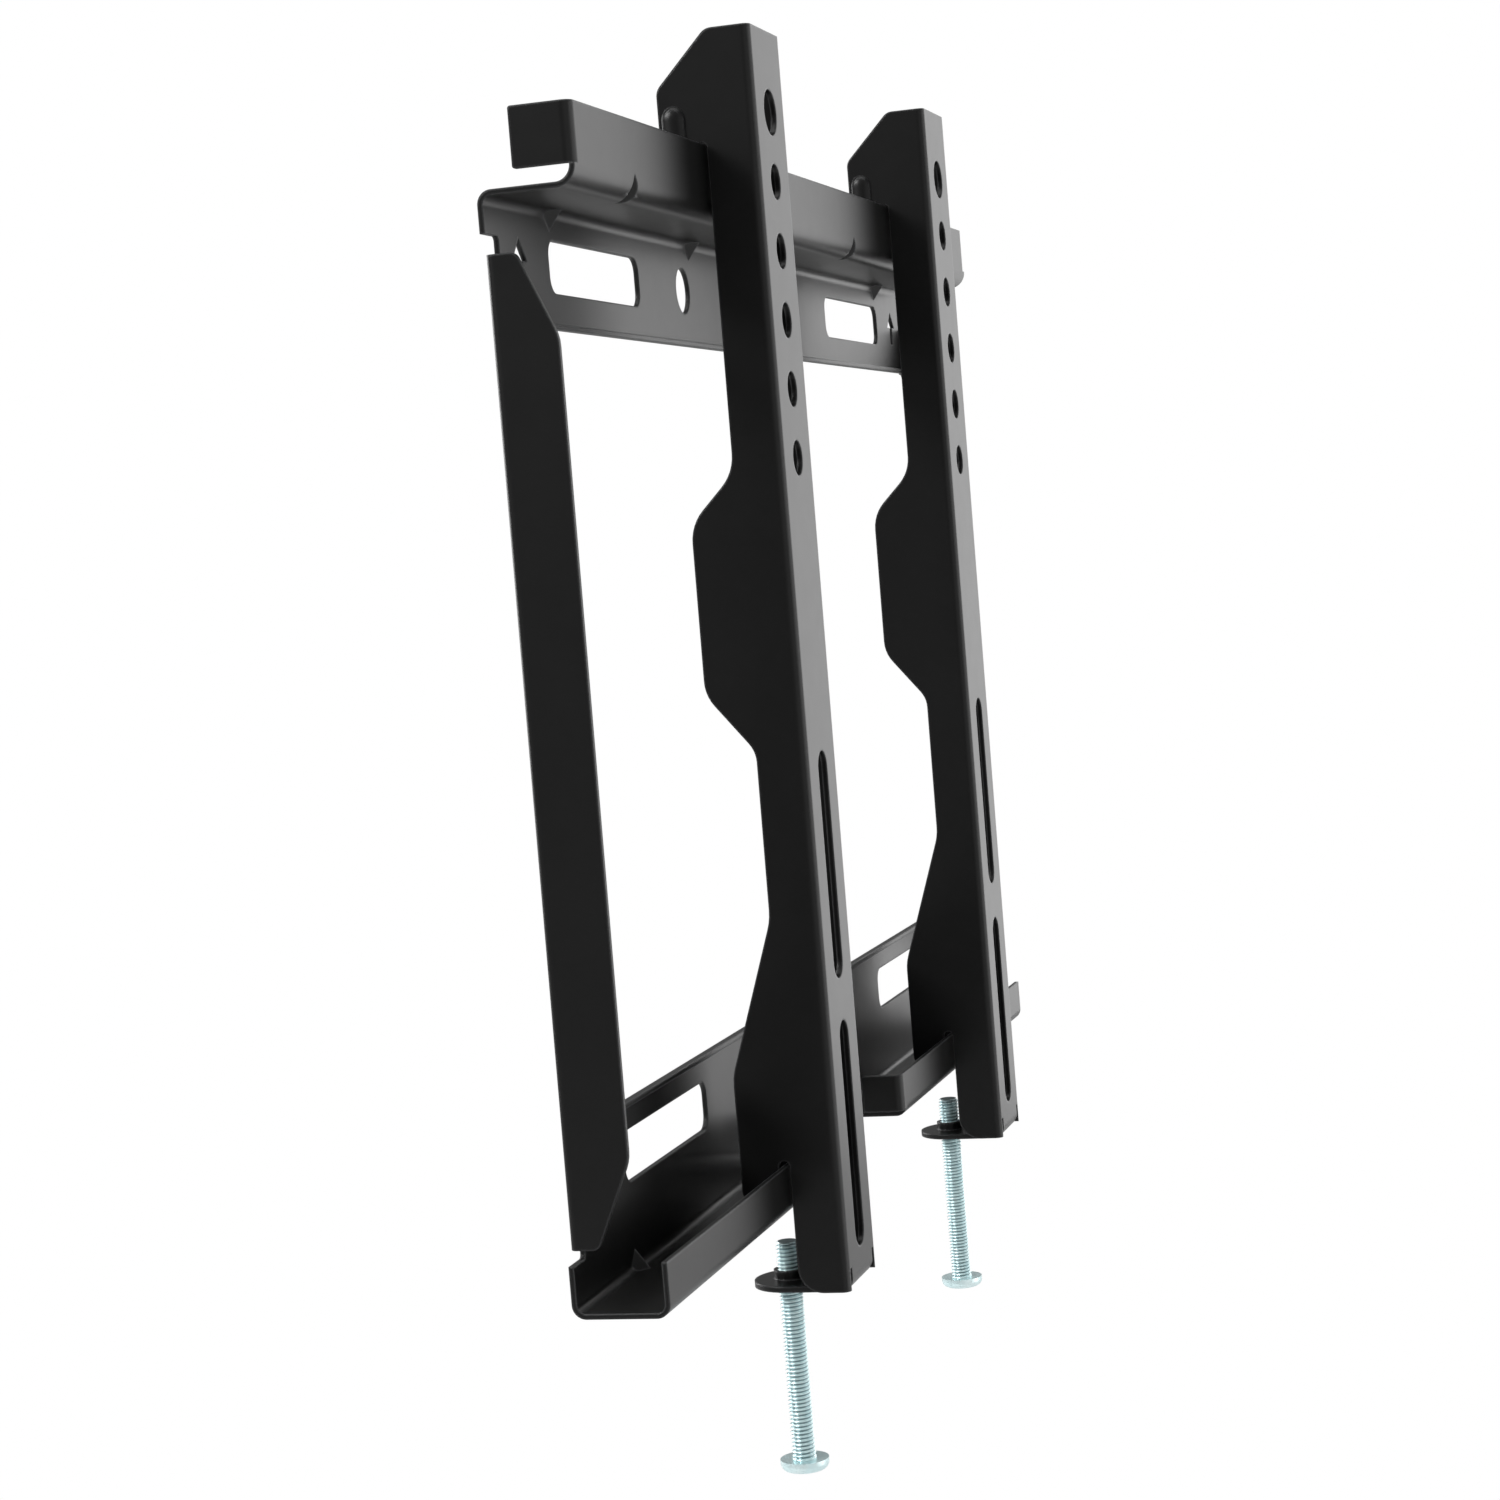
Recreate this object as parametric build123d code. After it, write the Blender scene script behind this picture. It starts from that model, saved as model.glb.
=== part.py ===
from build123d import *
import os

os.makedirs("parts", exist_ok=True)

# All sizes are in millimetres.
# X runs to the right as seen from the room, Y runs into the wall, Z runs up.
# The wall is the plane y = 0, and z = 0 is midway between the two rows of wall fixings.

# Wall plate, outline
plate_width = 325.0
plate_sheet = 1.0
fold_inside = 1.6
rail_depth = 18.3
row_spacing = 165.4

# Wall plate, heights measured from the rows of fixings
window_below_upper_row = 11.8
window_above_lower_row = 10.7
ledge_above_upper_row = 10.2
floor_below_lower_row = 22.1
upper_lip_rise = 13.8
lower_lip_height = 10.0
lip_fold_inside = 2.8

# Wall plate, window
window_corner = 2.5
window_edge_depth = 2.8
window_edge_inside = 0.5

# Wall plate, folded side bars
bar_inset = 1.4
bar_fold_inside = 0.4
bar_web = 1.0
bar_depth = 12.35
bar_above_upper_row = 0.2
bar_below_lower_row = 10.1
bar_top_cut = (6.7, 15.2)
bar_bottom_cut = (6.9, 15.9)
bar_cut_round = 8.0
bar_tip_round = 1.8
bar_relief_run = 6.8
bar_relief_upper = 3.5
bar_relief_lower = 2.5
bar_relief_round = 0.9

# Wall plate, turned ends of the lips
end_tab_depth = 11.35
end_tab_inside = 1.0
end_tab_round = 0.5
end_tab_clear = 0.2
middle_gap = 41.2
middle_tab_depth = 9.4
middle_relief_run = 3.2
middle_tab_clear = 0.6

# Wall plate, fixing holes and slots
slot_from_end = 60.2
slot_length = 54.4
slot_height = 9.7
slot_corner = 3.0
hole_pitch = 89.6
hole_diameter = 9.6

# Wall plate, arrow openings in the upper corners that show which way is up
arrow_from_end = 17.2
arrow_tip_above_row = 4.2
arrow_head_height = 4.1
arrow_head_width = 7.6
arrow_stem_width = 2.6
arrow_stem_length = 4.4

# Wall plate, pressed darts that stiffen the folds
dart_from_end = 34.5
dart_from_middle = 39.0
dart_width = 7.0
dart_back_leg = 3.8
dart_floor_leg = 2.8
dart_lip_leg = 4.4
dart_ledge_leg = 3.8

# Hook arms
arm_sheet = 1.2
arm_width = 23.2
arm_front = 29.2
arm_fold_outside = 1.65
arm_positions = (-69.4, 86.2)
arm_above_hook = 21.9
arm_below_lower_lip = 25.7
hook_seat_gap = 0.3
hook_front_gap = 0.6
hook_slot_width = 2.2

# Hook arms, rear outline: distances from the wall, and heights below the hook seat or above the lower lip
arm_top_depth = 8.9
upper_tongue_rear = 9.5
upper_tongue_drop = 11.0
upper_tongue_length = 8.3
rest_pad_rear = 9.4
rest_pad_below_seat = (64.6, 74.1, 108.0, 119.7)
lower_tongue_rear = 8.7
lower_tongue_above_lip = (49.5, 18.5)
lower_lip_gap = 1.1
lower_floor_gap = 2.2
leg_corner = 5.0

# Hook arms, stiffening bead on the upper tongue
bead_front = 14.5
bead_rear = 10.5
bead_top_drop = 14.6
bead_height = 0.8

# Hook arms, screen fixing holes measured from the arm centre line and top
large_hole_diameter = 9.1
large_hole_drop = 16.15
small_hole_diameter = 7.1
small_hole_drop = 29.8
small_hole_pitch = 13.65
small_hole_count = 5
screen_slot_length = 46.0
screen_slot_drops = (165.95, 220.45)

# Hook arms, screw tab at the foot
tab_width = 16.8
tab_tip_rear = 6.6
tab_drop = 0.6
tab_fold_inside = 1.6
tab_relief_width = 1.4
tab_relief_height = 2.2
collar_diameter = 6.4
collar_height = 1.9
screw_bore_clearance = 0.05

# Lock screws
screw_diameter = 4.9
screw_length = 45.0
screw_from_wall = 13.8
screw_tip_below_floor = 7.5
screw_tip_chamfer = 0.5
head_diameter = 10.0
head_height = 2.4
head_round = 1.6
recess_span = 5.2
recess_width = 1.15
recess_depth = 1.5


# Heights and positions that follow from the sizes above
half_width = plate_width / 2
row = row_spacing / 2
window_top = row - window_below_upper_row
window_bottom = window_above_lower_row - row
ledge_under = row + ledge_above_upper_row
ledge_top = ledge_under + plate_sheet
upper_lip_top = ledge_top + upper_lip_rise
floor_under = -row - floor_below_lower_row
floor_top = floor_under + plate_sheet
lower_lip_top = floor_under + lower_lip_height
fold_outside = fold_inside + plate_sheet
bar_face = half_width - bar_inset
bar_fold_outside = bar_fold_inside + plate_sheet
window_half = bar_face - bar_fold_outside - bar_web
bar_top = row + bar_above_upper_row
bar_bottom = -row - bar_below_lower_row
gap_half = middle_gap / 2
slot_seat = upper_lip_top + hook_seat_gap
arm_top = slot_seat + arm_above_hook
arm_bottom = lower_lip_top - arm_below_lower_lip
leg_rear = rail_depth + hook_front_gap
slot_rear = leg_rear - hook_slot_width


# Helpers

def rounded(face, corners):
    """Round the corners of a flat outline; corners is a list of (y, z, radius)."""
    for across, up, radius in corners:
        near = face.vertices().sort_by_distance(Vector(across, up, 0))[0]
        face = fillet(near, radius)
    return face


def outline(points):
    """Flat outline from its corner points."""
    return make_face(Polyline(*points, close=True).edges())


def folded(points, radii, thickness):
    """Section of a sheet along an open line, to the left of it, or to the right if thickness is negative."""
    line = Polyline(*points)
    for (across, up), radius in zip(points[1:-1], radii):
        near = line.vertices().sort_by_distance(Vector(across, up, 0))[0]
        line = fillet(near, radius)
    face_side = Side.LEFT if thickness > 0 else Side.RIGHT
    return make_face(offset(line, amount=abs(thickness), side=face_side).edges())


def along_x(face, start, end):
    """Side view outline (y, z) carried from one x to another."""
    return extrude(Plane.YZ.offset(start) * face, amount=end - start)


def along_z(face, start, end):
    """Plan outline (x, y) carried from one height to another."""
    return extrude(Plane.XY.offset(start) * face, amount=end - start)


def from_wall(face, start, end):
    """Front view outline (x, z) carried outward between two distances from the wall."""
    return extrude(Plane.XZ.offset(start) * face, amount=end - start)


def dart(centre, corner, leg_along_wall, leg_out):
    """Pressed dart across a fold: the raised ridge inside it and the dent outside it."""
    corner_y, corner_z = corner
    toward_room = -1 if leg_out < 0 else 1
    upward = -1 if leg_along_wall < 0 else 1
    out, up = abs(leg_out), abs(leg_along_wall)
    depth = out * up / (out ** 2 + up ** 2) ** 0.5
    dent_scale = 1 - plate_sheet / depth + plate_sheet / out + plate_sheet / up

    def ridge(start_y, start_z, size):
        """Ridge that swells from both ends to full size in the middle."""
        sections = []
        for offset_x, part in ((-dart_width / 2, 0.12), (0, 1.0), (dart_width / 2, 0.12)):
            reach_y = toward_room * out * size * part
            reach_z = upward * up * size * part
            triangle = outline([(start_y, start_z), (start_y + reach_y, start_z), (start_y, start_z + reach_z)])
            sections.append(Plane.YZ.offset(centre + offset_x) * triangle)
        return loft(sections[0:2], ruled=True) + loft(sections[1:3], ruled=True)

    overlap = 0.02
    raised = ridge(corner_y - toward_room * overlap, corner_z - upward * overlap, 1.0)
    shift = plate_sheet + overlap
    dent = ridge(corner_y - toward_room * shift, corner_z - upward * shift, dent_scale)
    return raised, dent


# Wall plate: one folded sheet

# Flat back with its corners cut away for the side bars
back_face = Rectangle(plate_width, ledge_under - fold_inside - floor_top - fold_inside)
back_face = Pos(0, (ledge_under + floor_top) / 2) * back_face
for side in (-1, 1):
    side_height = bar_top + bar_relief_upper - bar_bottom + bar_relief_lower
    side_centre = (bar_top + bar_relief_upper + bar_bottom - bar_relief_lower) / 2
    cut = RectangleRounded(2 * bar_relief_run, side_height, bar_relief_round)
    back_face -= Pos(side * half_width, side_centre) * cut
plate = from_wall(back_face, 0, plate_sheet)

# Upper rail: back, ledge and upstanding lip
upper_section = folded(
    [(-plate_sheet, ledge_under - fold_inside - 1), (-plate_sheet, ledge_under),
     (-rail_depth, ledge_under), (-rail_depth, upper_lip_top)],
    [fold_inside, lip_fold_inside + plate_sheet],
    -plate_sheet,
)
plate += along_x(upper_section, -half_width, half_width)

# Lower rail: back, floor and upstanding lip
lower_section = folded(
    [(-plate_sheet, floor_top + fold_inside + 1), (-plate_sheet, floor_top),
     (-rail_depth + plate_sheet, floor_top), (-rail_depth + plate_sheet, lower_lip_top)],
    [fold_inside, fold_inside],
    plate_sheet,
)
floor_end = gap_half + middle_relief_run
for side in (-1, 1):
    plate += along_x(lower_section, side * floor_end, side * half_width)

# Lip ends turned towards the wall
tab_outside = end_tab_inside + plate_sheet
for side in (-1, 1):
    upper_plan = folded(
        [(side * (half_width - tab_outside - 1), -rail_depth), (side * half_width, -rail_depth),
         (side * half_width, end_tab_depth - rail_depth)],
        [tab_outside],
        plate_sheet * side,
    )
    tab_foot = ledge_top + lip_fold_inside + end_tab_clear
    clear_end = Pos(side * half_width, -rail_depth + tab_outside / 2) * Rectangle(2 * tab_outside, tab_outside + 2)
    plate -= along_z(clear_end, tab_foot, upper_lip_top + 1)
    upper_tab = along_z(upper_plan, tab_foot, upper_lip_top)
    tab_edges = upper_tab.edges().filter_by(Axis.X).group_by(Axis.Y)[-1]
    plate += fillet(tab_edges, end_tab_round)

    lower_plan = folded(
        [(side * (floor_end + 0.5), -rail_depth), (side * gap_half, -rail_depth),
         (side * gap_half, middle_tab_depth - rail_depth)],
        [tab_outside],
        -plate_sheet * side,
    )
    lower_tab = along_z(lower_plan, floor_top + middle_tab_clear, lower_lip_top)
    tab_edges = lower_tab.edges().filter_by(Axis.X).group_by(Axis.Y)[-1]
    plate += fillet(tab_edges, end_tab_round)

# Side bars folded forward
bar_outline = rounded(
    outline([
        (1, bar_top), (-bar_depth + bar_top_cut[0], bar_top), (-bar_depth, bar_top - bar_top_cut[1]),
        (-bar_depth, bar_bottom + bar_bottom_cut[1]), (-bar_depth + bar_bottom_cut[0], bar_bottom), (1, bar_bottom),
    ]),
    [
        (-bar_depth + bar_top_cut[0], bar_top, bar_tip_round),
        (-bar_depth, bar_top - bar_top_cut[1], bar_cut_round),
        (-bar_depth, bar_bottom + bar_bottom_cut[1], bar_cut_round),
        (-bar_depth + bar_bottom_cut[0], bar_bottom, bar_tip_round),
    ],
)
for side in (-1, 1):
    bar_plan = folded(
        [(side * (half_width - bar_relief_run - 0.5), 0), (side * bar_face, 0), (side * bar_face, -bar_depth)],
        [bar_fold_outside],
        -plate_sheet * side,
    )
    bar = along_z(bar_plan, bar_bottom, bar_top)
    plate += bar & along_x(bar_outline, -half_width, half_width)

# Window cut right up to the folds of the side bars
window_height = window_top - window_bottom
window_face = Pos(0, (window_top + window_bottom) / 2) * RectangleRounded(2 * window_half, window_height, window_corner)
plate -= from_wall(window_face, -1, plate_sheet)

# Window edges turned forward along the top and bottom
edge_run = window_half - window_corner - 1
edge_outside = window_edge_inside + plate_sheet
for edge_z, upward in ((window_top, 1), (window_bottom, -1)):
    edge_section = folded(
        [(0, edge_z + upward * (edge_outside + 1)), (0, edge_z), (-window_edge_depth, edge_z)],
        [edge_outside],
        -plate_sheet * upward,
    )
    clear_edge = Pos(-plate_sheet / 2, edge_z) * Rectangle(plate_sheet + 2, 2 * edge_outside)
    plate -= along_x(clear_edge, -edge_run, edge_run)
    plate += along_x(edge_section, -edge_run, edge_run)

# Darts across the folds
dents = []
dart_outer = half_width - dart_from_end
for x in (-dart_outer, -dart_from_middle, dart_from_middle, dart_outer):
    for corner, wall_leg, out_leg in (
        ((-plate_sheet, ledge_under), -dart_back_leg, -dart_floor_leg),
        ((plate_sheet - rail_depth, ledge_top), dart_lip_leg, dart_ledge_leg),
        ((-plate_sheet, floor_top), dart_back_leg, -dart_floor_leg),
    ):
        raised, dent = dart(x, corner, wall_leg, out_leg)
        plate += raised
        dents.append(dent)
for dent in dents:
    plate -= dent

# Wall fixings: four slots and four round holes
for level in (-row, row):
    for side in (-1, 1):
        slot_place = Pos(side * (half_width - slot_from_end), level)
        slot = slot_place * RectangleRounded(slot_length, slot_height, slot_corner)
        plate -= from_wall(slot, -1, plate_sheet + 1)
        hole = Pos(side * hole_pitch / 2, level) * Circle(hole_diameter / 2)
        plate -= from_wall(hole, -1, plate_sheet + 1)

# Arrow openings in the two upper corners
arrow_tip = row + arrow_tip_above_row
arrow_base = arrow_tip - arrow_head_height
for side in (-1, 1):
    x = side * (half_width - arrow_from_end)
    head = [(x, arrow_tip), (x + arrow_head_width / 2, arrow_base)]
    stem = [(x + arrow_stem_width / 2, arrow_base), (x + arrow_stem_width / 2, arrow_base - arrow_stem_length)]
    mirrored = [(2 * x - across, up) for across, up in reversed(head[1:] + stem)]
    plate -= from_wall(outline(head + stem + mirrored), -1, plate_sheet + 1)

export_step(plate, "parts/wall_plate.step")


# Hook arm: one channel with hooked edges, made once and placed twice

def make_arm():
    """Arm centred on x = 0 at its working height and distance from the wall."""
    half = arm_width / 2
    inside = arm_fold_outside - arm_sheet
    deepest = min(upper_tongue_rear, lower_tongue_rear, rest_pad_rear)
    channel = outline([(-half, 1 - deepest), (-half, -arm_front), (half, -arm_front), (half, 1 - deepest)])
    channel = rounded(channel, [(-half, -arm_front, arm_fold_outside), (half, -arm_front, arm_fold_outside)])
    hollow = outline([
        (-half + arm_sheet, 2 - deepest), (-half + arm_sheet, arm_sheet - arm_front),
        (half - arm_sheet, arm_sheet - arm_front), (half - arm_sheet, 2 - deepest),
    ])
    hollow = rounded(hollow, [
        (-half + arm_sheet, arm_sheet - arm_front, inside), (half - arm_sheet, arm_sheet - arm_front, inside),
    ])
    body = along_z(channel - hollow, arm_bottom, arm_top)

    # Side outline with the two hooks and the pad between them
    tongue_end = slot_seat - upper_tongue_length
    low_seat = lower_lip_top + lower_lip_gap
    low_end = floor_top + lower_floor_gap
    tongue_shoulder = arm_top - upper_tongue_drop
    step_1, step_2, step_3, step_4 = [slot_seat - drop for drop in rest_pad_below_seat]
    step_5, step_6 = [lower_lip_top + rise for rise in lower_tongue_above_lip]
    points = [
        (-arm_front, arm_top),
        (-arm_front + arm_top_depth, arm_top),
        (-upper_tongue_rear, tongue_shoulder),
        (-upper_tongue_rear, tongue_end),
        (-slot_rear, tongue_end),
        (-slot_rear, slot_seat),
        (-leg_rear, slot_seat),
        (-leg_rear, step_1),
        (-rest_pad_rear, step_2),
        (-rest_pad_rear, step_3),
        (-leg_rear, step_4),
        (-leg_rear, step_5),
        (-lower_tongue_rear, step_6),
        (-lower_tongue_rear, low_end),
        (-slot_rear, low_end),
        (-slot_rear, low_seat),
        (-leg_rear, low_seat),
        (-leg_rear, arm_bottom),
        (-arm_front, arm_bottom),
    ]
    seat_round = 0.48 * hook_slot_width
    rounds = (3.0, 3.0, 1.5, 1.5, seat_round, seat_round, 9.0, 9.0, 8.0, 6.0, 12.0, 12.0, 2.0, 1.5,
              seat_round, seat_round, leg_corner)
    corners = [(y, z, radius) for (y, z), radius in zip(points[1:-1], rounds)]
    body = body & along_x(rounded(outline(points), corners), -half, half)

    # Stiffening bead on the outside of each upper tongue
    bead_width = bead_front - bead_rear
    bead_length = 2 * (upper_tongue_length + arm_above_hook - bead_top_drop)
    bead_centre = -(bead_front + bead_rear) / 2
    bead_face = SlotOverall(bead_length, bead_width, rotation=90)
    bead_face = Pos(bead_centre, arm_top - bead_top_drop - bead_length / 2) * bead_face
    keep = Pos(bead_centre, tongue_end + 1 + bead_length / 2) * Rectangle(bead_width, bead_length)
    bead_face = bead_face & keep
    for side in (-1, 1):
        bead = extrude(Plane.YZ.offset(side * half) * bead_face, amount=side * bead_height)
        top_edges = bead.faces().sort_by(Axis.X)[-1 if side > 0 else 0].edges()
        body += chamfer(top_edges, 0.6 * bead_height)

    # Screen fixing holes and slots through the front face
    large = Pos(0, arm_top - large_hole_drop) * Circle(large_hole_diameter / 2)
    body -= from_wall(large, arm_front - arm_sheet - 1, arm_front + 1)
    for index in range(small_hole_count):
        small = Pos(0, arm_top - small_hole_drop - index * small_hole_pitch) * Circle(small_hole_diameter / 2)
        body -= from_wall(small, arm_front - arm_sheet - 1, arm_front + 1)
    for drop in screen_slot_drops:
        slot = Pos(0, arm_top - drop) * SlotOverall(screen_slot_length, small_hole_diameter, rotation=90)
        body -= from_wall(slot, arm_front - arm_sheet - 1, arm_front + 1)

    # Foot of the face folded back into the screw tab, with a relief on each side
    tab_under = arm_bottom - tab_drop
    tab_half = tab_width / 2
    tab_outside = tab_fold_inside + arm_sheet
    foot_top = tab_under + tab_outside
    cut_top = max(foot_top, arm_bottom) + tab_relief_height
    foot_cut = Pos(0, (cut_top + arm_bottom - 1) / 2)
    foot_cut *= Rectangle(tab_width + 2 * tab_relief_width, cut_top - arm_bottom + 1)
    body -= from_wall(foot_cut, arm_front - arm_sheet - inside, arm_front + 1)
    tab_section = folded(
        [(-arm_front, cut_top + 0.5), (-arm_front, tab_under), (-tab_tip_rear, tab_under)],
        [tab_outside],
        arm_sheet,
    )
    tab = along_x(tab_section, -tab_half, tab_half)
    straight = -tab_tip_rear - tab_half + arm_front + 1
    plan = Pos(0, -arm_front - 1 + straight / 2) * Rectangle(tab_width, straight)
    plan += Pos(0, -tab_tip_rear - tab_half) * Circle(tab_half)
    body += tab & along_z(plan, tab_under - 1, cut_top + 1)

    # Drawn collar for the lock screw thread
    tab_top = tab_under + arm_sheet
    collar = Pos(0, -screw_from_wall) * Circle(collar_diameter / 2)
    body += along_z(collar, tab_top - 0.5, tab_top + collar_height)
    bore = Pos(0, -screw_from_wall) * Circle(screw_diameter / 2 + screw_bore_clearance)
    body -= along_z(bore, tab_under - 1, tab_top + collar_height + 1)
    return body


arm = make_arm()
left_arm = Pos(arm_positions[0], 0, 0) * arm
right_arm = Pos(arm_positions[1], 0, 0) * arm
export_step(left_arm, "parts/left_arm.step")
export_step(right_arm, "parts/right_arm.step")


# Lock screws: machine screws driven up through the collars from below

def make_screw():
    """Screw on the axis x = 0 with its tip up and a cross recess in its head."""
    tip = floor_under - screw_tip_below_floor
    under_head = tip - screw_length
    shank = along_z(Circle(screw_diameter / 2), under_head - 0.5, tip)
    shank = chamfer(shank.edges().sort_by(Axis.Z)[-1], screw_tip_chamfer)
    head = along_z(Circle(head_diameter / 2), under_head - head_height, under_head)
    head = fillet(head.edges().group_by(Axis.Z)[0], head_round)
    floor = Plane.XY.offset(under_head - head_height)
    for span, width in ((recess_span, recess_width), (recess_width, recess_span)):
        mouth = floor * Rectangle(span, width)
        end = floor.offset(recess_depth) * Rectangle(0.55 * span, 0.55 * width)
        head -= loft([mouth, end])
    return Pos(0, -screw_from_wall, 0) * (head + shank)


screw = make_screw()
left_screw = Pos(arm_positions[0], 0, 0) * screw
right_screw = Pos(arm_positions[1], 0, 0) * screw
export_step(left_screw, "parts/left_lock_screw.step")
export_step(right_screw, "parts/right_lock_screw.step")
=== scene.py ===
import math

import bmesh
import bpy
from mathutils import Matrix, Vector


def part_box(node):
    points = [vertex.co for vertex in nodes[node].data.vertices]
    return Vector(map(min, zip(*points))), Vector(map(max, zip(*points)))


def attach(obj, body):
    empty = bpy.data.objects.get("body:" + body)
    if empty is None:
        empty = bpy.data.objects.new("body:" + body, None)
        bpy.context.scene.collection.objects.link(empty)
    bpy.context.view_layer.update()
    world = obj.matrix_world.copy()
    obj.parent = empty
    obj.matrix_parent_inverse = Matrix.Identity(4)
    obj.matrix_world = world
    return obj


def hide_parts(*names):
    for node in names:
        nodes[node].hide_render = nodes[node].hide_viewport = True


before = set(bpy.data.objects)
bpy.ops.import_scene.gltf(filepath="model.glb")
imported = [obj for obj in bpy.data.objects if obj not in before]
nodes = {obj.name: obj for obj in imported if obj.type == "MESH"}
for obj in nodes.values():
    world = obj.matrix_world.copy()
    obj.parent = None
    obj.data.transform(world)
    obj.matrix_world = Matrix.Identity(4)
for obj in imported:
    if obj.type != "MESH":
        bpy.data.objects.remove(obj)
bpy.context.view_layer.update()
scene = bpy.context.scene

SIDES = ("left", "right")

# Camera, in the row frame: the place and aim solved from the photo
CAMERA_PLACE = (-0.6975, -0.1938, 0.0295)
CAMERA_RIGHT = Vector((0.26876, -0.95979, -0.08102))
CAMERA_AHEAD = Vector((0.95961, 0.27407, -0.06350))
FOCAL_PIXELS = 3250.0
PHOTO_SIDE = 1500.0
SENSOR = 36.0
CLIP_START = 0.01

# Satin powder coat; scales are in waves per metre and lengths in metres
PAINT_TONE = 0.0050
PAINT_IOR = 1.36
PLATE_ROUGH = 0.33
ARM_ROUGH = 0.31
SHEEN_SWING = 0.006
TONE_SWING = 0.1
CLOUD_SCALE = 55.0
SHEEN_SCALE = 220.0
PEEL_SCALE = 1400.0
PEEL_STRENGTH = 0.05
PEEL_HEIGHT = 0.00003
EDGE_RADIUS = 0.0006
EDGE_SAMPLES = 4
EDGE_FULL = 0.80
EDGE_NONE = 0.995
# Lighter colour on the coat's edges: partly wear, partly painted highlight
EDGE_WEAR_AND_HIGHLIGHT = (0.075, 0.077, 0.079, 1.0)

# Bright zinc plate with a faint blue-green cast
ZINC_DIM = (0.73, 0.92, 0.94, 1.0)
ZINC_BRIGHT = (0.81, 0.96, 0.97, 1.0)
# Painted shade: darker zinc for the thread's roots and the flanks beside them, where shade falls
PAINTED_SHADE_DIM = (0.23, 0.32, 0.34, 1.0)
PAINTED_SHADE_BRIGHT = (0.31, 0.41, 0.43, 1.0)
ZINC_METALLIC = 0.8
ZINC_ROUGH = (0.32, 0.37)
ZINC_CLOUD_SCALE = 420.0
ZINC_CLOUD_ENDS = (0.35, 0.70)
ZINC_FINE_SCALE = 700.0
ZINC_BUMP_STRENGTH = 0.01
ZINC_BUMP_HEIGHT = 0.00002

# Points nearer than this are one point, in metres
MERGE_GAP = 0.000001

# Bead on each upper tongue, in metres, as on the arm's solid but with a round back
BEAD_RISE = 0.0008
BEAD_SKIN = 0.0012
BEAD_SINK = 0.0001
BEAD_SPAN = 0.0049
BEAD_CENTRE = -0.0125
BEAD_TOP_DROP = 0.0144
BEAD_BOTTOM_DROP = 0.0292
BEAD_ROWS = 28
BEAD_STEPS = 20
BEAD_CROWDING = 1.6
FACING_OUT = 0.001

# Lock screw, in metres
SCREW_PITCH = 0.0008
SCREW_CREST = 0.00245
SCREW_ROOT = 0.00204
TIP_CHAMFER = 0.0005
HEAD_REACH = 1.5 * SCREW_CREST
SHANK_CUT_LIFT = 0.00005
THREAD_FOOT_SINK = 0.0004
THREAD_STEPS = 40
THREAD_WAVE = (1.0, 1.0, 0.72, 0.36, 0.0, 0.0, 0.36, 0.72)
# Rows of each pitch whose faces take the painted shade
THREAD_PAINTED_SHADE_ROWS = (3, 4, 5)

# Setting
WHITE = (1.0, 1.0, 1.0, 1.0)
FLOOR_SIZE = 12.0
FLOOR_PLACE = (1.0, 0.0, -0.75)
FLOOR_TONE = 0.6
FLOOR_SWING = 0.01
FLOOR_CLOUD_SCALE = 3.0
BACKDROP_LIGHT = 1.0
MIRRORED_LIGHT = 0.25
MATT_LIGHT = 0.45

# Soft lights: name, place, aim, side of the square in metres, power in watts
LIGHTS = (
    ("right_soft", (2.6, -0.9, 0.60), (0.0, 0.0, 0.0), 2.6, 31.0),
    ("top_soft", (-0.5, 0.1, 2.4), (0.0, 0.0, 0.0), 2.2, 28.0),
    ("left_soft", (-1.4, 1.3, 1.15), (0.0, 0.0, 0.05), 0.8, 30.0),
    ("low_soft", (-1.3, -1.2, 0.1), (0.0, 0.0, 0.0), 1.5, 3.0),
    ("front_soft", (0.45, -2.2, -0.2), (0.0, 0.0, 0.0), 1.9, 22.0),
    ("back_soft", (0.9, 2.3, 0.6), (0.0, 0.0, 0.0), 1.6, 35.0),
)


# Materials

class Graph:
    """Small helper that adds and joins shader nodes."""

    def __init__(self, name):
        self.material = bpy.data.materials.new(name)
        self.material.use_nodes = True
        self.tree = self.material.node_tree
        self.tree.nodes.clear()
        self.out = self.add("ShaderNodeOutputMaterial")

    def add(self, kind, **settings):
        node = self.tree.nodes.new(kind)
        for key, value in settings.items():
            setattr(node, key, value)
        return node

    def join(self, source, socket, target, name):
        self.tree.links.new(source.outputs[socket], target.inputs[name])

    def noise(self, scale, detail=2.0, rough=0.5):
        """Noise in object space; scale is in waves per metre."""
        place = self.add("ShaderNodeTexCoord")
        noise = self.add("ShaderNodeTexNoise")
        noise.inputs["Scale"].default_value = scale
        noise.inputs["Detail"].default_value = detail
        noise.inputs["Roughness"].default_value = rough
        self.join(place, "Object", noise, "Vector")
        return noise

    def spread(self, source, socket, low, high, start=0.3, end=0.7):
        """Map a value from one range to another."""
        node = self.add("ShaderNodeMapRange")
        node.inputs["From Min"].default_value = start
        node.inputs["From Max"].default_value = end
        node.inputs["To Min"].default_value = low
        node.inputs["To Max"].default_value = high
        self.join(source, socket, node, "Value")
        return node

    def bump(self, source, strength, height):
        """Raise the surface by a noise."""
        node = self.add("ShaderNodeBump")
        node.inputs["Strength"].default_value = strength
        node.inputs["Distance"].default_value = height
        self.join(source, "Fac", node, "Height")
        return node


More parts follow.
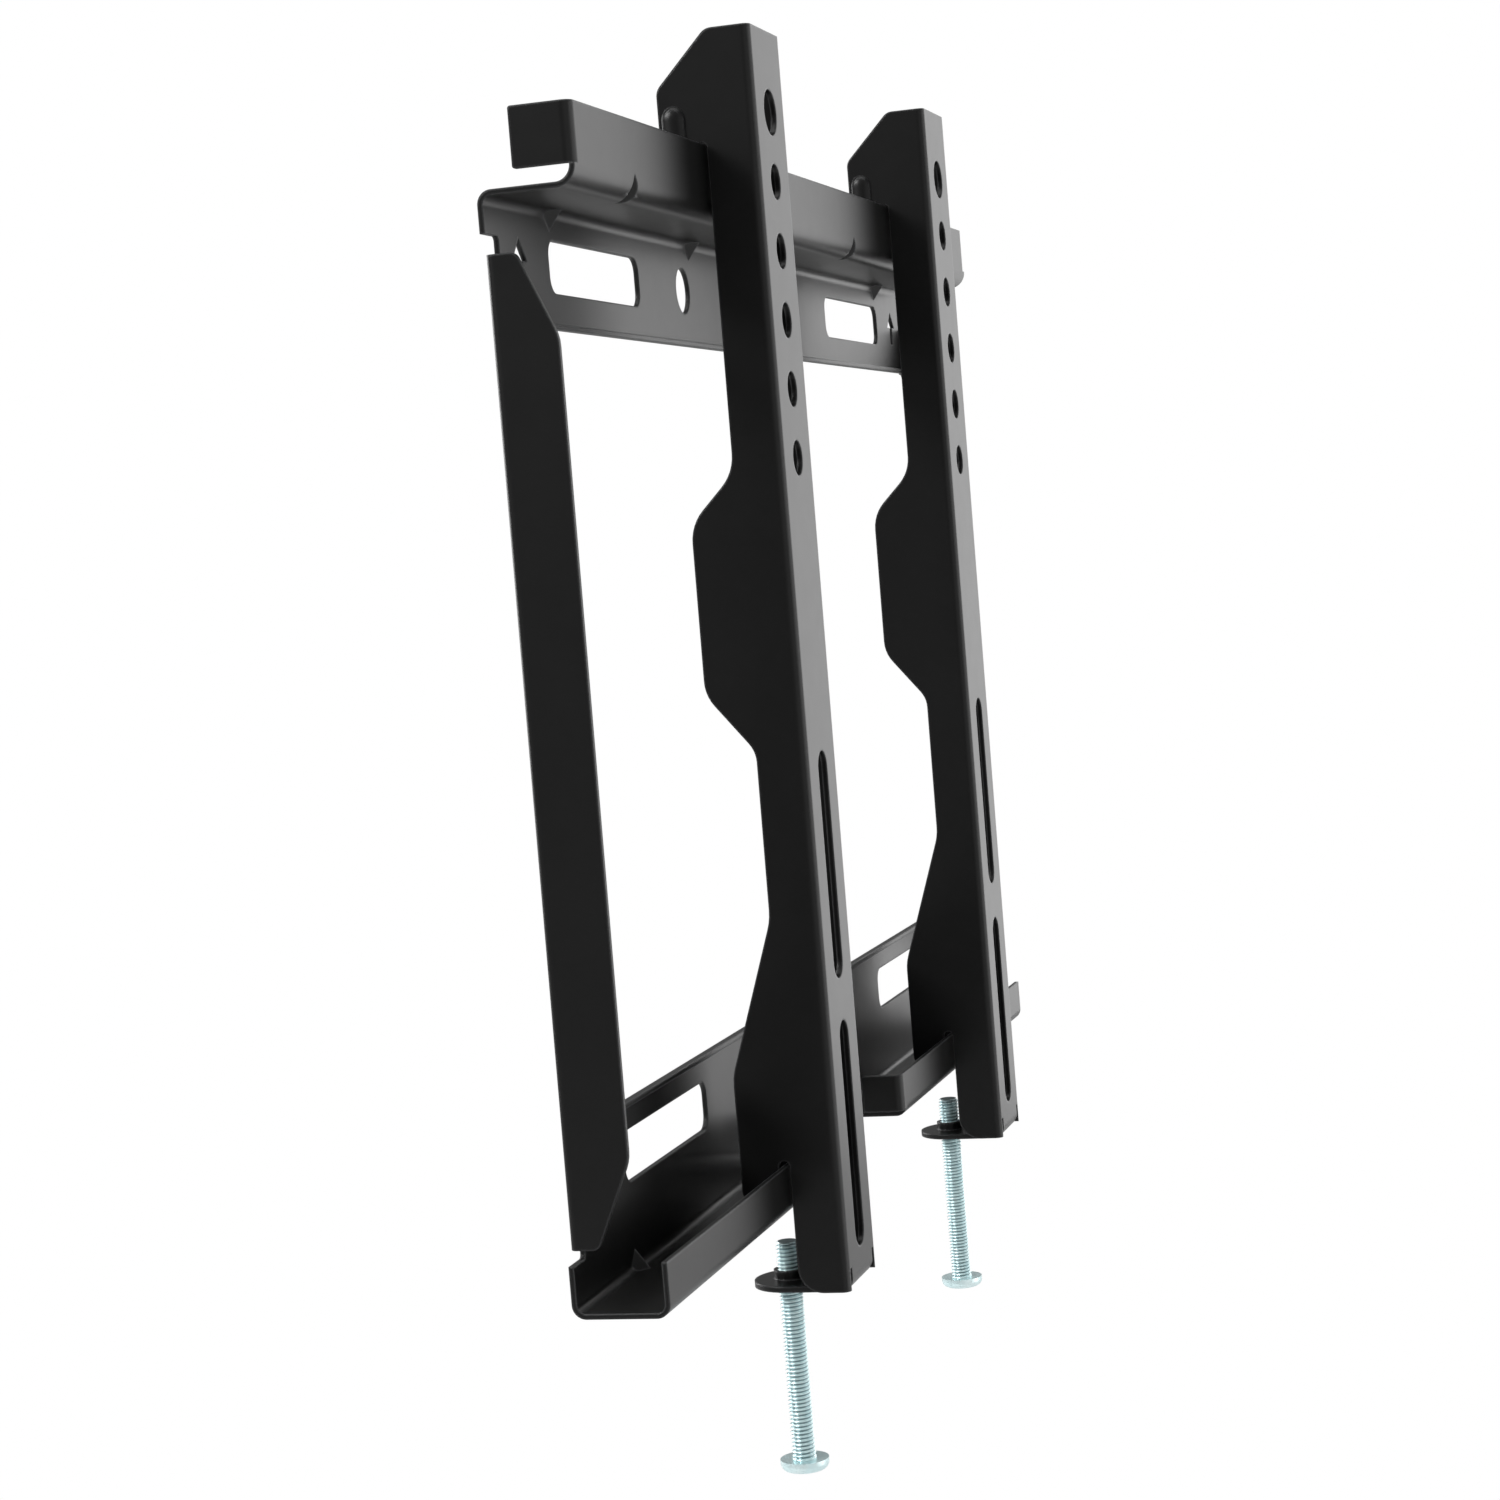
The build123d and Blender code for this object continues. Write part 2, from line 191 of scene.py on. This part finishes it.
def paint(name, rough):
    """Satin powder coat with fine orange peel, softened edges, and a lighter colour on them that is partly
    wear and partly painted highlight.
    """
    graph = Graph(name)
    shader = graph.add("ShaderNodeBsdfPrincipled")
    shader.inputs["IOR"].default_value = PAINT_IOR

    # Slightly uneven colour
    cloud = graph.noise(CLOUD_SCALE, detail=3.0)
    low, high = (1 - TONE_SWING) * PAINT_TONE, (1 + TONE_SWING) * PAINT_TONE
    shade = graph.spread(cloud, "Fac", low, high)
    colour = graph.add("ShaderNodeCombineColor")
    for channel in ("Red", "Green", "Blue"):
        graph.join(shade, "Result", colour, channel)

    # Where the softened normal leaves the true one the surface is an edge
    soft = graph.add("ShaderNodeBevel", samples=EDGE_SAMPLES)
    soft.inputs["Radius"].default_value = EDGE_RADIUS
    true = graph.add("ShaderNodeNewGeometry")
    agree = graph.add("ShaderNodeVectorMath", operation="DOT_PRODUCT")
    graph.join(soft, "Normal", agree, 0)
    graph.join(true, "Normal", agree, 1)
    edge = graph.spread(agree, "Value", 1.0, 0.0, EDGE_FULL, EDGE_NONE)
    # Edges take a lighter colour, partly rubbed coat and partly a painted highlight standing in for the
    # bright lines that edges catch
    edge_wear_and_highlight = graph.add("ShaderNodeMix", data_type="RGBA")
    graph.join(edge, "Result", edge_wear_and_highlight, "Factor")
    graph.join(colour, "Color", edge_wear_and_highlight, "A")
    edge_wear_and_highlight.inputs["B"].default_value = EDGE_WEAR_AND_HIGHLIGHT
    graph.join(edge_wear_and_highlight, "Result", shader, "Base Color")

    # Sheen that varies a little
    streak = graph.noise(SHEEN_SCALE)
    sheen = graph.spread(streak, "Fac", rough - SHEEN_SWING, rough + SHEEN_SWING)
    graph.join(sheen, "Result", shader, "Roughness")

    # Orange peel over the softened edges
    grain = graph.noise(PEEL_SCALE, rough=0.6)
    peel = graph.bump(grain, PEEL_STRENGTH, PEEL_HEIGHT)
    graph.join(soft, "Normal", peel, "Normal")
    graph.join(peel, "Normal", shader, "Normal")
    graph.join(shader, "BSDF", graph.out, "Surface")
    return graph.material


def zinc(name, dim, bright):
    """Zinc plate that clouds between two tones."""
    graph = Graph(name)
    shader = graph.add("ShaderNodeBsdfPrincipled")
    shader.inputs["Metallic"].default_value = ZINC_METALLIC
    cloud = graph.noise(ZINC_CLOUD_SCALE)
    ramp = graph.add("ShaderNodeValToRGB")
    for end, place, tone in zip(ramp.color_ramp.elements, ZINC_CLOUD_ENDS, (dim, bright)):
        end.position = place
        end.color = tone
    graph.join(cloud, "Fac", ramp, "Fac")
    graph.join(ramp, "Color", shader, "Base Color")
    fine = graph.noise(ZINC_FINE_SCALE)
    sheen = graph.spread(fine, "Fac", *ZINC_ROUGH)
    graph.join(sheen, "Result", shader, "Roughness")
    grain = graph.bump(fine, ZINC_BUMP_STRENGTH, ZINC_BUMP_HEIGHT)
    graph.join(grain, "Normal", shader, "Normal")
    graph.join(shader, "BSDF", graph.out, "Surface")
    return graph.material


plate_paint = paint("plate_paint", PLATE_ROUGH)
arm_paint = paint("arm_paint", ARM_ROUGH)
screw_zinc = zinc("screw_zinc", ZINC_DIM, ZINC_BRIGHT)
thread_painted_shade_zinc = zinc("thread_painted_shade_zinc", PAINTED_SHADE_DIM, PAINTED_SHADE_BRIGHT)


def dress(piece, material):
    """Give a piece one material."""
    piece.data.materials.clear()
    piece.data.materials.append(material)


dress(nodes["wall_plate"], plate_paint)
for side in SIDES:
    dress(nodes[side + "_arm"], arm_paint)


# Stiffening beads: a smooth pressed form over the flat-topped bead of each upper tongue

def bead_skin(name, body, arm, outward):
    """Half capsule on one side of an arm; outward is -1 for its left side and 1 for its right side."""
    low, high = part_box(arm)
    face_x = high.x - BEAD_RISE if outward > 0 else low.x + BEAD_RISE
    top, bottom = high.z - BEAD_TOP_DROP, high.z - BEAD_BOTTOM_DROP
    half = BEAD_SPAN / 2
    points, faces = [], []
    for row in range(BEAD_ROWS + 1):
        along = row / BEAD_ROWS
        z = bottom + (top - bottom) * (1 - (1 - along) ** BEAD_CROWDING)
        end_gap = min(top - z, half)
        narrow = math.sqrt(max(0.0, 1 - (1 - end_gap / half) ** 2))
        for step in range(BEAD_STEPS + 1):
            across = -1 + 2 * step / BEAD_STEPS
            y = BEAD_CENTRE + across * half * narrow
            swell = math.sqrt(max(0.0, 1 - across ** 2)) * narrow
            x = face_x + outward * (BEAD_SKIN * swell - BEAD_SINK)
            points.append((x, y, z))
    wide = BEAD_STEPS + 1
    for row in range(BEAD_ROWS):
        for step in range(BEAD_STEPS):
            a = row * wide + step
            faces.append((a, a + 1, a + 1 + wide, a + wide))

    # A flat back, hidden in the arm, and a flat foot
    for row in range(BEAD_ROWS):
        a = row * wide
        faces.append((a, a + wide, a + wide + BEAD_STEPS, a + BEAD_STEPS))
    faces.append(tuple(range(wide)))
    mesh = bpy.data.meshes.new(name + "_mesh")
    mesh.from_pydata(points, [], faces)
    work = bmesh.new()
    work.from_mesh(mesh)
    bmesh.ops.remove_doubles(work, verts=work.verts[:], dist=MERGE_GAP)
    bmesh.ops.recalc_face_normals(work, faces=work.faces[:])
    for face in work.faces:
        face.smooth = face.normal.x * outward > FACING_OUT
    work.to_mesh(mesh)
    work.free()
    piece = bpy.data.objects.new(name, mesh)
    scene.collection.objects.link(piece)
    dress(piece, arm_paint)
    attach(piece, body)


for side in SIDES:
    for face_name, outward in (("outer", -1), ("inner", 1)):
        bead_skin(side + "_arm_" + face_name + "_bead", side + "_arm_body", side + "_arm", outward)


# Lock screws: the plain shank is replaced by one with a real thread, and the head stays as it is

def close_open_edges(work):
    """Put a face over every opening of a mesh."""
    bmesh.ops.holes_fill(work, edges=[edge for edge in work.edges if edge.is_boundary])


def cut_head(name, centre):
    """Copy the solid's head without its shank; gives the mesh and the height of the head's top."""
    mesh = nodes[name].data.copy()
    work = bmesh.new()
    work.from_mesh(mesh)
    bmesh.ops.remove_doubles(work, verts=work.verts[:], dist=MERGE_GAP)
    heights = []
    for vert in work.verts:
        if math.hypot(vert.co.x - centre.x, vert.co.y - centre.y) > HEAD_REACH:
            heights.append(vert.co.z)
    head_top = max(heights)
    everything = work.verts[:] + work.edges[:] + work.faces[:]
    cut_place = Vector((centre.x, centre.y, head_top + SHANK_CUT_LIFT))
    bmesh.ops.bisect_plane(work, geom=everything, plane_co=cut_place, plane_no=(0, 0, 1), clear_outer=True)
    close_open_edges(work)
    work.to_mesh(mesh)
    work.free()
    return mesh, head_top


def cut_thread(name, centre, foot, tip):
    """Threaded shank from foot to tip; every column of points climbs by one pitch per turn."""
    per_pitch = len(THREAD_WAVE)
    rows = int((tip - foot) / SCREW_PITCH * per_pitch) + 2 * per_pitch + 2
    points, faces, in_painted_shade = [], [], []
    for step in range(THREAD_STEPS):
        turn = step / THREAD_STEPS
        angle = 2 * math.pi * turn
        for row in range(rows):
            z = foot + SCREW_PITCH * (row / per_pitch - 1 + turn)
            z = min(tip, max(foot, z))
            wave = THREAD_WAVE[row % per_pitch]
            r = SCREW_ROOT + (SCREW_CREST - SCREW_ROOT) * wave
            if z == foot:
                r = SCREW_ROOT
            r = min(r, SCREW_CREST - TIP_CHAMFER + (tip - z))
            points.append((centre.x + r * math.cos(angle), centre.y + r * math.sin(angle), z))

    # The last column meets the first one a whole pitch higher
    for step in range(THREAD_STEPS):
        last = step == THREAD_STEPS - 1
        climb = per_pitch if last else 0
        for row in range(rows - 1 - climb):
            a = step * rows + row
            b = row + climb if last else a + rows
            faces.append((a, b, b + 1, a + 1))
            # Faces in these rows take the darker zinc of painted shade
            in_painted_shade.append(row % per_pitch in THREAD_PAINTED_SHADE_ROWS)
    mesh = bpy.data.meshes.new(name + "_thread_mesh")
    mesh.from_pydata(points, [], faces)
    mesh.polygons.foreach_set("material_index", in_painted_shade)
    work = bmesh.new()
    work.from_mesh(mesh)
    bmesh.ops.remove_doubles(work, verts=work.verts[:], dist=MERGE_GAP)
    close_open_edges(work)
    bmesh.ops.recalc_face_normals(work, faces=work.faces[:])
    for face in work.faces:
        face.smooth = len(face.verts) < 5
    work.to_mesh(mesh)
    work.free()
    return mesh


def threaded_screw(name, body):
    """Screw of the same size and place as its plain solid, with a cut thread along the shank."""
    low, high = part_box(name)
    centre = (low + high) / 2
    head_mesh, head_top = cut_head(name, centre)
    thread_mesh = cut_thread(name, centre, head_top - THREAD_FOOT_SINK, high.z)
    head = bpy.data.objects.new(name + "_head", head_mesh)
    thread = bpy.data.objects.new(name + "_thread", thread_mesh)

    # The thread's faces already say which of its two materials they take: plain zinc, or darker zinc that
    # is painted shade in the roots and on the flanks beside them
    dress(head, screw_zinc)
    thread_mesh.materials.append(screw_zinc)
    thread_mesh.materials.append(thread_painted_shade_zinc)
    for piece in (head, thread):
        scene.collection.objects.link(piece)
        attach(piece, body)
    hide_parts(name)


for side in SIDES:
    threaded_screw(side + "_lock_screw", side + "_screw_body")


# Setting: a pale floor well below the mount, white all round, soft light from the right and above

def pale_floor(name):
    """Pale matt surface; seen straight on by the camera it is the plain white of the backdrop."""
    graph = Graph(name)
    matt = graph.add("ShaderNodeBsdfDiffuse")
    cloud = graph.noise(FLOOR_CLOUD_SCALE)
    shade = graph.spread(cloud, "Fac", FLOOR_TONE - FLOOR_SWING, FLOOR_TONE + FLOOR_SWING)
    graph.join(shade, "Result", matt, "Color")
    white = graph.add("ShaderNodeEmission")
    white.inputs["Color"].default_value = WHITE
    white.inputs["Strength"].default_value = BACKDROP_LIGHT
    path = graph.add("ShaderNodeLightPath")
    mix = graph.add("ShaderNodeMixShader")
    graph.join(path, "Is Camera Ray", mix, "Fac")
    graph.join(matt, "BSDF", mix, 1)
    graph.join(white, "Emission", mix, 2)
    graph.join(mix, "Shader", graph.out, "Surface")
    return graph.material


bpy.ops.mesh.primitive_plane_add(size=FLOOR_SIZE, location=FLOOR_PLACE)
floor = bpy.context.object
floor.name = "floor"
dress(floor, pale_floor("floor_pale"))

world = bpy.data.worlds.new("white")
scene.world = world
world.use_nodes = True
tree = world.node_tree
tree.nodes.clear()


def sky(strength):
    """White light of one strength from all round."""
    node = tree.nodes.new("ShaderNodeBackground")
    node.inputs["Color"].default_value = WHITE
    node.inputs["Strength"].default_value = strength
    return node.outputs["Background"]


def choose(test, otherwise, chosen):
    """Take one light for the rays that pass a test, and the other light for the rest."""
    node = tree.nodes.new("ShaderNodeMixShader")
    tree.links.new(test, node.inputs[0])
    tree.links.new(otherwise, node.inputs[1])
    tree.links.new(chosen, node.inputs[2])
    return node.outputs["Shader"]


# The camera sees white, matt surfaces are filled so that they render about as written, and gloss
# mirrors a dimmer studio
path = tree.nodes.new("ShaderNodeLightPath")
seen_or_mirrored = choose(path.outputs["Is Camera Ray"], sky(MIRRORED_LIGHT), sky(BACKDROP_LIGHT))
all_rays = choose(path.outputs["Is Diffuse Ray"], seen_or_mirrored, sky(MATT_LIGHT))
world_out = tree.nodes.new("ShaderNodeOutputWorld")
tree.links.new(all_rays, world_out.inputs["Surface"])


def soft_light(name, place, aim, size, power):
    """Square soft light that faces a point."""
    data = bpy.data.lights.new(name, "AREA")
    data.shape = "SQUARE"
    data.size = size
    data.energy = power
    lamp = bpy.data.objects.new(name, data)
    scene.collection.objects.link(lamp)
    lamp.location = place
    lamp.rotation_euler = (Vector(aim) - Vector(place)).to_track_quat("-Z", "Y").to_euler()


for light in LIGHTS:
    soft_light(*light)

# Camera at the photo's angle
camera_data = bpy.data.cameras.new("photo_view")
camera_data.sensor_width = SENSOR
camera_data.lens = SENSOR * FOCAL_PIXELS / PHOTO_SIDE
camera_data.clip_start = CLIP_START
camera = bpy.data.objects.new("photo_view", camera_data)
scene.collection.objects.link(camera)
ahead = CAMERA_AHEAD.normalized()
right = (CAMERA_RIGHT - CAMERA_RIGHT.dot(ahead) * ahead).normalized()
up = right.cross(ahead)
turn = Matrix((right, up, -ahead)).transposed().to_4x4()
camera.matrix_world = Matrix.Translation(CAMERA_PLACE) @ turn
scene.camera = camera
scene.view_settings.view_transform = "Standard"
